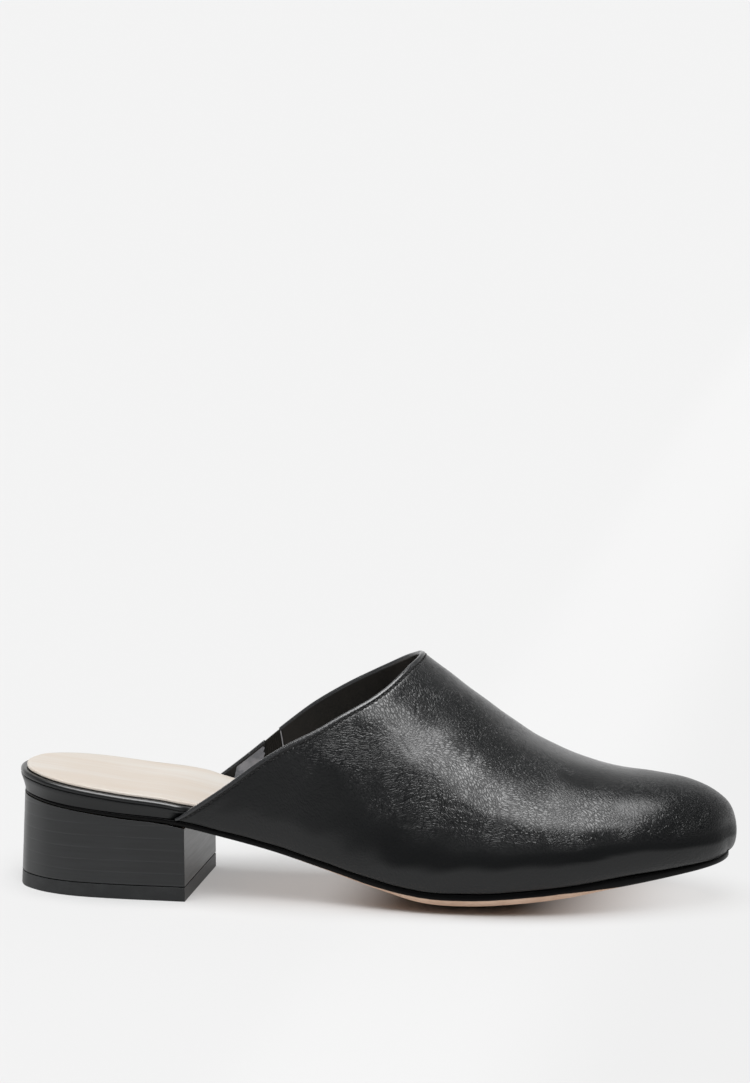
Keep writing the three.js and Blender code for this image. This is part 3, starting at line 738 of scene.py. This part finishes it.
# The main creases of the outer side: each runs from x0, z0 to x1, z1 in the side view, and its
# trough has a depth and a width
crease_rows = np.array([
    [168.9, 57.8, 164.7, 50.8, 0.13, 0.55],
    [171.8, 57.0, 168.6, 52.0, 0.07, 0.5],
    [174.2, 56.2, 177.4, 51.4, 0.11, 0.55],
    [177.4, 51.4, 179.7, 46.8, 0.1, 0.6],
    [132.6, 69.6, 140.7, 61.3, 0.08, 0.65],
    [140.7, 61.3, 144.7, 52.0, 0.08, 0.65],
    [146.9, 71.4, 143.9, 66.0, 0.08, 0.5],
    [145.0, 50.1, 164.4, 50.7, 0.06, 0.6],
    [139.5, 31.6, 155.2, 33.2, 0.09, 0.9],
    [155.2, 33.2, 176.0, 29.9, 0.11, 0.9],
    [176.0, 29.9, 196.3, 28.4, 0.09, 0.9],
    [155.0, 39.2, 168.9, 36.4, 0.09, 0.8],
    [168.9, 36.4, 182.2, 38.2, 0.07, 0.8],
    [220.8, 39.4, 226.6, 33.8, 0.07, 0.5],
    [228.6, 39.0, 229.6, 33.4, 0.06, 0.5],
    [236.4, 37.6, 234.0, 33.0, 0.05, 0.5],
])


def crease_lift(points):
    """Troughs along the creases with a low ridge beside each, fading at both ends.

    d is the distance from the crease's line and f how far along it, both in the side view:
    depth * (0.3 exp(-(d/w - 1.9)^2) - exp(-(d/w)^2)) * sin(pi f)^0.5.
    """
    x, y, z = points[..., 0], points[..., 1], points[..., 2]
    lift = np.zeros_like(x)
    for x0, z0, x1, z1, depth, width in crease_rows:
        run, rise = x1 - x0, z1 - z0
        length = np.hypot(run, rise)
        f = np.clip(((x - x0) * run + (z - z0) * rise) / length ** 2, 0, 1)
        wave = 0.6 * np.sin(f * 7 + x0)
        d = ((x - x0) * rise - (z - z0) * run) / length + wave
        shape = 0.3 * np.exp(-(d / width - 1.9) ** 2) - np.exp(-(d / width) ** 2)
        lift += depth * shape * np.sqrt(np.sin(np.pi * f))
    return lift * (1 - smoothstep(y, -6, 4))


def unevenness(points):
    """Slow waves a tenth of a millimetre high, as hand lasting leaves them."""
    x, y, z = points[..., 0], points[..., 1], points[..., 2]
    return (0.07 * np.sin(x / 4.7 + z / 6.1) * np.sin(y / 5.3 + 1.3)
            + 0.05 * np.sin(x / 2.9 - z / 3.7 + 0.8) + 0.06 * np.sin(z / 3.3 + y / 4.1))


def fold_lift(distance):
    """The folded edge stands proud, and the stitches pull a channel in along it."""
    fold = 0.3 * (1 - smoothstep(distance, 1.0, 1.7))
    return fold - 0.2 * np.exp(-((distance - stitch_inset) / 0.45) ** 2)


def vamp_relief(points, distance):
    inland = smoothstep(distance, 2.0, 8.0)
    return fold_lift(distance) + (crease_lift(points) + unevenness(points)) * inland


vamp_wall = shell(0.0, front_seam, 400, relief=vamp_relief)
vamp = shell_piece("vamp", vamp_wall, lining_from=0.79)
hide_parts("upper")
vamp.data.materials.append(leather_material("vamp_leather", 1.0, 0.00023, folded=True))

lining, tree, shader = material("leather_lining", Roughness=0.62, IOR=1.4)
place = coordinates(tree)
rubbed = ramp(tree, noise(tree, place, 60.0, 4.0, 0.6), 0.35, 0.65)
feed(tree, shader, Base_Color=blend(tree, rubbed, (0.0045, 0.0043, 0.0038), (0.009, 0.008, 0.0065)))
bump(tree, shader, calc(tree, "ADD", noise(tree, place, 900.0, 2.0),
                        calc(tree, "MULTIPLY", noise(tree, place, 160.0, 2.0), 2.0)), 0.00006)
vamp.data.materials.append(lining)


def line_on(face, wanted):
    """Points and normals along a face of the wall at one distance from the edge."""
    points, normals, distance = face
    k = np.clip((distance < wanted).sum(axis=0), 1, len(distance) - 1)
    column = np.arange(distance.shape[1])
    low, high = distance[k - 1, column], distance[k, column]
    f = ((wanted - low) / np.maximum(high - low, 1e-9))[:, None]
    long_enough = distance[-1] > wanted + 0.4
    line = points[k - 1, column] * (1 - f) + points[k, column] * f
    return line[long_enough], unit(normals[k, column][long_enough])


def stitches(name, line, normals, pitch=2.0, length=1.6, radius=0.32):
    """A row of stitches, each a short bar that sinks in at both ends.

    Along w from 0 to 1 the radius is r (1 - (2w - 1)^6)^0.5, and the bar's middle line lies
    r (0.45 - (2w - 1)^4) above the leather; round it the angle runs once.
    """
    w = np.linspace(0, 1, 9)
    run = length_along(line)
    at = np.arange(pitch / 2, run[-1] - pitch, pitch)[:, None] + w[None, :] * length
    centre = np.stack([np.interp(at, run, line[:, k]) for k in range(3)], axis=-1)
    normal = unit(np.stack([np.interp(at, run, normals[:, k]) for k in range(3)], axis=-1))
    side = unit(np.cross(np.gradient(centre, axis=1), normal))
    centre = centre + normal * (radius * (0.45 - (2 * w - 1) ** 4))[None, :, None]
    size = radius * np.sqrt(np.maximum(1 - (2 * w - 1) ** 6, 0))
    around = np.linspace(0, 2 * np.pi, 8, endpoint=False)
    ring = (side[:, :, None] * np.cos(around)[:, None]
            + 0.7 * normal[:, :, None] * np.sin(around)[:, None])
    bars = centre[:, :, None] + ring * size[None, :, None, None]
    one = ring_faces(len(w), len(around))
    faces = (np.arange(len(bars))[:, None, None] * w.size * around.size + one).reshape(-1, 4)
    return to_mesh(name, bars, faces)


thread, tree, shader = material("waxed_thread", Roughness=0.6, Base_Color=(0.004, 0.004, 0.004))
place = coordinates(tree)
twist = calc(tree, "SINE", calc(tree, "MULTIPLY", noise(tree, place, 1400.0, 1.0), 14.0))
bump(tree, shader, twist, 0.00004)
vamp_thread = stitches("vamp_stitching", *line_on(vamp_wall["out"], stitch_inset))
vamp_thread.data.materials.append(thread)

# Elastic gore. A short panel of ribbed elastic let into the inner side between the vamp and the
# tab, so that the throat gives as the foot goes in.

gore_thickness = 1.2
gore = shell_piece("gore_panel", shell(
    front_seam + seam_gap, rear_seam - seam_gap, 24, outer=60, inner=60,
    thick=gore_thickness, sink=(wall - gore_thickness) / 2))
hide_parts("elastic_gore")
elastic, tree, shader = material("ribbed_elastic", Roughness=0.8, Specular_IOR_Level=0.25)
wall_uv = along_wall(tree)
rib = calc(tree, "SINE", calc(tree, "MULTIPLY", wall_uv["X"], 2 * np.pi / 0.0009))
knit = calc(tree, "SINE", calc(tree, "MULTIPLY", wall_uv["Y"], 2 * np.pi / 0.0006))
weave = calc(tree, "ADD", rib, calc(tree, "MULTIPLY", knit, 0.35))
feed(tree, shader, Base_Color=blend(tree, ramp(tree, weave, -1.2, 1.2), (0.004, 0.0037, 0.003),
                                    (0.012, 0.0105, 0.008)))
bump(tree, shader, weave, 0.00005)
gore.data.materials.append(elastic)

# Medial tab. The rear end of the upper behind the gore: folded, stitched, and backed inside by a
# light grey cloth with a pinked front edge.

tab_wall = shell(rear_seam, 1.0, 110, outer=70, inner=60,
                 relief=lambda points, distance: fold_lift(distance))
tab = shell_piece("rear_tab", tab_wall, lining_from=0.79)
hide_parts("medial_tab")
tab.data.materials.append(vamp.data.materials[0])
tab.data.materials.append(lining)
tab_thread = stitches("tab_stitching", *line_on(tab_wall["out"], stitch_inset))
tab_thread.data.materials.append(thread)


sheet_gap = 0.04


def wall_sheet(name, start, end, near, far, columns, rows, pinked=0.0, tooth=1.6, thick=0.3):
    """A thin sheet on the inside of the wall between two shares and two distances.

    Its front edge is cut in teeth: each row's first point lies up to pinked further back, by a
    saw of the length tooth, and the shift fades with the cube of the way to the rear.
    """
    face = shell(start, end, columns, outer=4, inner=90)["inn"]
    wanted = np.linspace(near, far, rows)
    lines = [line_on(face, d) for d in wanted]
    shortest = min(len(line[0]) for line in lines)
    grid = np.array([line[0][:shortest] for line in lines])
    facing = np.array([line[1][:shortest] for line in lines])
    teeth = pinked * np.abs(((wanted - near) / tooth) % 1.0 * 2 - 1)[:, None, None]
    along = unit(grid[:, 1:2] - grid[:, :1])
    fade = np.linspace(1, 0, shortest)[None, :, None] ** 3
    grid = grid + along * teeth * fade
    upper_face, lower_face = grid + facing * thick, grid + facing * sheet_gap
    rings = np.concatenate([upper_face, lower_face[:, ::-1]], axis=1)
    return skin(name, rings, sharp=40)


cloth_end = place_of(61.0, "medial")
cloth = wall_sheet("tab_backing_cloth", rear_seam + 0.2 / topline_length[-1], cloth_end,
                   1.3, 7.5, 60, 40, pinked=0.8)
cloth_grey, tree, shader = material("backing_cloth", Roughness=0.9, Specular_IOR_Level=0.15)
place = coordinates(tree)
soiled = ramp(tree, noise(tree, place, 210.0, 3.0), 0.4, 0.62)
feed(tree, shader, Base_Color=blend(tree, soiled, (0.27, 0.27, 0.285), (0.17, 0.175, 0.19)))
threads = put(tree, "ShaderNodeTexVoronoi", {"Vector": place, "Scale": 2200.0})
bump(tree, shader, threads.outputs["Distance"], 0.00005)
cloth.data.materials.append(cloth_grey)
# A thin light grey strip inside the vamp's front seam, a painted highlight where the seam's edge
# catches the light.
seam_highlight_strip = wall_sheet("vamp_seam_highlight_strip", front_seam - 0.45 / topline_length[-1], front_seam,
                       1.0, 14.0, 3, 40, thick=0.35)
seam_highlight_strip.data.materials.append(cloth_grey)

# Outsole. A thin moulded sole, flat under the ball and hollow in the waist. Its edge is inked
# black, and the beige of the tread shows below the ink where the sole is thick.


def sole_edges(t):
    """The sole's edge from the tread up: a quarter round under a straight, upright side."""
    roll = sole_roll * sole_thickness * bottom_at(t)["sole"]
    edges = []
    for angle in np.radians([0, 18, 36, 54, 72, 90]):
        inset = roll * (1 - np.sin(angle))
        edges.append((inset, lambda r, s, c=1 - np.cos(angle): line_height(r)
                      - sole_thickness * r["sole"] * (1 - 0.5 * c)))
    edges.append((0 * t, lambda r, s: line_height(r) - sole_chamfer))
    edges.append((0 * t + sole_chamfer, lambda r, s: line_height(r)))
    return edges


def tread(row, share):
    return np.maximum(line_height(row) - sag(row, share) - sole_thickness * row["sole"], 0)


sole_roll = 0.42
sole_chamfer = 0.15
across = 33
rings = bottom_ring(t, sole_roll * sole_thickness * bottom_at(t)["sole"], tread, sole_edges(t),
                    0 * t + sole_chamfer, lambda r, s: line_height(r) - sag(r, s), across)
# The UV's second part is the depth below the sole line, and past the ink's reach on the tread
below_line = line_height(bottom_at(t))[:, None] - rings[..., 2]
below_line[:, :across] += 10
uv = np.stack([rings[..., 0], below_line], axis=-1) * metres
sole = skin("sole_plate", rings, uv, sharp=50)
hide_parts("outsole")
resin, tree, shader = material("inked_sole")
place = coordinates(tree)
edge_uv = along_wall(tree)
brush = calc(tree, "MULTIPLY_ADD", noise(tree, place, 90.0, 3.0), 0.0008, -0.0004)
towards_toe = ramp(tree, edge_uv["X"], 0.195, 0.225, 0.0, 0.0016)
ink_depth = calc(tree, "ADD", calc(tree, "ADD", brush, 0.0022), towards_toe)
inked = ramp(tree, calc(tree, "SUBTRACT", ink_depth, edge_uv["Y"]), -0.00012, 0.00012)
mottle = ramp(tree, noise(tree, place, 140.0, 4.0, 0.6), 0.35, 0.65)
beige_tone = blend(tree, mottle, (0.6, 0.4, 0.285), (0.68, 0.48, 0.355))
feed(tree, shader, Base_Color=blend(tree, inked, beige_tone, (0.0025, 0.0025, 0.0027)),
     Specular_IOR_Level=ramp(tree, inked, 0.0, 1.0, 0.5, 0.1),
     Roughness=ramp(tree, inked, 0.0, 1.0, 0.55, 0.36))
bump(tree, shader, calc(tree, "ADD", noise(tree, place, 700.0, 3.0),
                        calc(tree, "MULTIPLY", inked, 0.6)), 0.00005)
sole.data.materials.append(resin)

# Heel. A D-shaped block with a finish drawn like stacked leather, fixed up into the sole, and
# under it a thin rubber lift that takes the wear.

heel_length = 64.6
heel_back_flare = 2.0
heel_side_taper = 0.08
lift_thickness = 5.0
breast_row = float(np.interp(heel_length, bottom_at(t)["at"] * shoe_length, t))


def heel_outline(drop, steps=60):
    """The heel's outline from its lateral breast corner round the back to the medial one.

    drop is 0 at its top and 1 at the floor: the back leans out and the sides draw in.
    """
    back = bottom_rows[0][0] * shoe_length
    stretch = 1 + heel_back_flare * drop / (heel_length - back)
    f = np.linspace(0, 1, steps + 1)
    half = []
    for side in ("lateral", "medial"):
        x, y = outline_point(breast_row * (1 - f), side, 0.0)
        x = heel_length - (heel_length - x) * stretch
        half.append(np.stack([x, y * (1 - heel_side_taper * drop * np.sin(np.pi * f))], axis=-1))
    return np.concatenate([half[0], half[1][::-1][1:]])


def heel_top(x):
    row = bottom_at_x(x)
    return line_height(row) - sag(row, 0) - sole_thickness * row["sole"] - glue_line


def heel_rings(low, high, levels):
    """Rings from low to high, which are functions of x, each at the outline for its height."""
    rings = []
    for f in levels:
        outline = heel_outline(1 - f)
        z = low(outline[:, 0]) * (1 - f) + high(outline[:, 0]) * f
        outline = heel_outline(1 - np.mean(z) / heel_height)
        rings.append(np.column_stack([outline, z]))
    return np.array(rings)


def capped(name, rings, sharp=40):
    """A closed object from rings, with a fan of triangles over each end."""
    count, size = rings.shape[:2]
    k = np.arange(size)
    after = (k + 1) % size
    top = (count - 1) * size
    low_fan = np.stack([np.full(size, count * size), after, k], axis=-1)
    high_fan = np.stack([np.full(size, count * size + 1), top + k, top + after], axis=-1)
    points = np.vstack([rings.reshape(-1, 3), rings[0].mean(axis=0), rings[-1].mean(axis=0)])
    faces = ring_faces(count, size).tolist() + low_fan.tolist() + high_fan.tolist()
    return to_mesh(name, points, faces, sharp=sharp)


def eased(piece, width):
    """Rounds a piece's hard edges by a bevel of width millimetres."""
    bevel = piece.modifiers.new("eased_edges", "BEVEL")
    bevel.width = width * metres
    bevel.segments = 2
    bevel.limit_method = "ANGLE"
    bevel.angle_limit = np.radians(40)
    bevel.harden_normals = True


bottom = lift_thickness + glue_line
heel = capped("heel_stack", heel_rings(lambda x: bottom + 0 * x, heel_top, np.linspace(0, 1, 9)))
eased(heel, 0.15)
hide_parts("heel_block")
cover, tree, shader = material("stacked_finish", IOR=1.5)
place = coordinates(tree)
layer_height = 0.0043  # metres from one drawn layer of the stack to the next
waver = noise(tree, stretched(tree, place, 14.0, 14.0, 60.0), 1.0, 2.0)
layer = calc(tree, "MULTIPLY_ADD", waver, 0.55,
             calc(tree, "DIVIDE", split(tree, place)["Z"], layer_height))
phase = calc(tree, "FRACT", layer)
line_mask = calc(tree, "SUBTRACT", 1.0, ramp(
    tree, calc(tree, "ABSOLUTE", calc(tree, "SUBTRACT", phase, 0.5)), 0.0, 0.11))
fibre = noise(tree, stretched(tree, place, 45.0, 45.0, 900.0), 1.0, 3.0, 0.6)
tone = ramp(tree, calc(tree, "ADD", fibre, calc(tree, "MULTIPLY", noise(tree, place, 45.0), 0.4)),
            0.5, 0.9)
shade = blend(tree, tone, (0.006, 0.0068, 0.0074), (0.0105, 0.0118, 0.0128))
strength = ramp(tree, noise(tree, place, 60.0), 0.35, 0.6, 0.15, 1.0)
faint = calc(tree, "MULTIPLY", line_mask, strength)
feed(tree, shader,
     Base_Color=blend(tree, calc(tree, "MULTIPLY", faint, 0.4), shade, (0.03, 0.032, 0.034)),
     Roughness=calc(tree, "MULTIPLY_ADD", fibre, 0.16, 0.27))
bump(tree, shader, calc(tree, "SUBTRACT", calc(tree, "MULTIPLY", fibre, 0.5), faint), 0.00003)
heel.data.materials.append(cover)

lift = capped("heel_lift", heel_rings(lambda x: 0 * x, lambda x: lift_thickness + 0 * x,
                                      np.linspace(0, 1, 4)))
eased(lift, 0.12)
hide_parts("top_lift")
rubber, tree, shader = material("lift_rubber", Roughness=0.5)
place = coordinates(tree)
dust = ramp(tree, noise(tree, place, 180.0, 4.0, 0.65), 0.4, 0.7)
feed(tree, shader, Base_Color=blend(tree, dust, (0.008, 0.009, 0.0098), (0.014, 0.0155, 0.0165)))
bump(tree, shader, noise(tree, place, 1500.0, 3.0), 0.00005)
lift.data.materials.append(rubber)

# Sock. A thin beige leather cover glued over the board, its faint streaks running to the toe.

sock_thickness = 0.9
sock_margin = 0.45
open_margin = 0.8  # more of the wrap shows beside the sock at the open heel
inset = board_shoulder(t) + bead_radius + sock_margin + open_margin * (1 - covered_bead(t))


def sock_base(row, share):
    return board_top(row, share) + glue_line


sock = skin("sock_cover", bottom_ring(
    t, inset, sock_base,
    [(inset, lambda r, s: sock_base(r, 1.0) + sock_thickness * 0.6)],
    inset + 0.35, lambda r, s: sock_base(r, s) + sock_thickness, across), sharp=60)
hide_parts("sock")
beige, tree, shader = material("beige_leather", Roughness=0.5, IOR=1.42)
place = coordinates(tree)
lengthwise = stretched(tree, place, 14.0, 170.0, 14.0)
streak = ramp(tree, noise(tree, lengthwise, 1.0, 4.0, 0.6), 0.32, 0.68)
cloud = ramp(tree, noise(tree, place, 26.0, 2.0), 0.35, 0.65)
pale = blend(tree, streak, (0.57, 0.505, 0.44), (0.61, 0.58, 0.54))
feed(tree, shader, Base_Color=blend(tree, calc(tree, "MULTIPLY", cloud, 0.35), pale,
                                    (0.56, 0.485, 0.41)))
bump(tree, shader, calc(tree, "ADD", noise(tree, place, 1300.0, 3.0), streak), 0.000025)
sock.data.materials.append(beige)

# Studio: a pale floor, two far softboxes and the photo's camera.

floor_reach = 60.0
corners = np.array([[-1, -1, 0], [1, -1, 0], [1, 1, 0], [-1, 1, 0]]) * floor_reach
mesh = bpy.data.meshes.new("studio_floor")
mesh.from_pydata(corners, [], [[0, 1, 2, 3]])
studio_floor = placed("studio_floor", mesh)
paper, tree, shader = material("floor_paper", Roughness=1.0, Specular_IOR_Level=0.0,
                               Emission_Color=(1, 1, 1))
# The floor glows, painted light that lifts the shoe's cast shadows: somewhat along the heel's half,
# not at all under the ball of the foot, and most towards the toe. Its colour darkens as the glow
# rises, so the open floor stays evenly pale.
along = split(tree, coordinates(tree))["X"]
painted_shadow_fill = calc(tree, "ADD", ramp(tree, along, -0.02, 0.015, 0.36, 0.0),
            ramp(tree, along, 0.05, 0.115, 0.0, 0.8))
unlit, level_of_light = 0.64, 0.86
feed(tree, shader, Base_Color=blend(tree, painted_shadow_fill, (unlit,) * 3, (0, 0, 0)),
     Emission_Strength=calc(tree, "MULTIPLY", painted_shadow_fill, level_of_light))
mesh.materials.append(paper)


def soft_light(name, azimuth, elevation, spread, strength):
    """A far softbox: azimuth 0 is the viewer's side and 90 the toe's, spread is how wide it is."""
    light = bpy.data.lights.new(name, "SUN")
    light.angle = np.radians(spread)
    light.energy = strength
    lamp = placed(name, light)
    a, e = np.radians([azimuth, elevation])
    towards = Vector((np.sin(a) * np.cos(e), -np.cos(a) * np.cos(e), np.sin(e)))
    lamp.rotation_mode = "QUATERNION"
    lamp.rotation_quaternion = (-towards).to_track_quat("-Z", "Y")
    lamp.location = towards


soft_light("top_softbox", -50, 80, 54, 3.2)
soft_light("front_softbox", 14, 56, 34, 1.25)

# The room: dim in front and overhead, with a pale wall behind the shoe
world = bpy.data.worlds.new("studio")
world.use_nodes = True
tree = world.node_tree
direction = split(tree, put(tree, "ShaderNodeTexCoord").outputs["Generated"])
wall_light = calc(tree, "MULTIPLY", ramp(tree, direction["Y"], -0.1, 0.8),
                  ramp(tree, direction["Z"], 0.2, 0.7, 1.0, 0.0))
background = tree.nodes["Background"]
background.inputs["Color"].default_value = (1, 1, 1, 1)
tree.links.new(calc(tree, "MULTIPLY_ADD", wall_light, 0.6, 0.06), background.inputs["Strength"])
bpy.context.scene.world = world

azimuth, elevation, roll = np.radians([8.8, 11.9, 0.17])
aim_point = np.array([0.0008, 0.0, 0.03])
back_way = np.array([np.sin(azimuth) * np.cos(elevation),
                     -np.cos(azimuth) * np.cos(elevation), np.sin(elevation)])
camera_distance = 1.4
photo_width, photo_height = 750, 1083
aim_pixel = (377.0, 805.0)
focal_pixels = 3983.0
camera_data = bpy.data.cameras.new("camera")
camera = placed("camera", camera_data)
right = np.array([np.cos(azimuth), np.sin(azimuth), 0.0])
up = np.cross(back_way, right)
turned_right = right * np.cos(roll) - up * np.sin(roll)
turned_up = up * np.cos(roll) + right * np.sin(roll)
view = Matrix([turned_right, turned_up, back_way]).transposed().to_4x4()
view.translation = aim_point + back_way * camera_distance
camera.matrix_world = view
camera_data.sensor_width = 36
camera_data.sensor_fit = "AUTO"
camera_data.lens = focal_pixels * 36 / photo_height
camera_data.shift_x = (photo_width / 2 - aim_pixel[0]) / photo_height
camera_data.shift_y = (aim_pixel[1] - photo_height / 2) / photo_height
camera_data.dof.use_dof = False
bpy.context.scene.camera = camera
bpy.context.scene.view_settings.view_transform = "Standard"
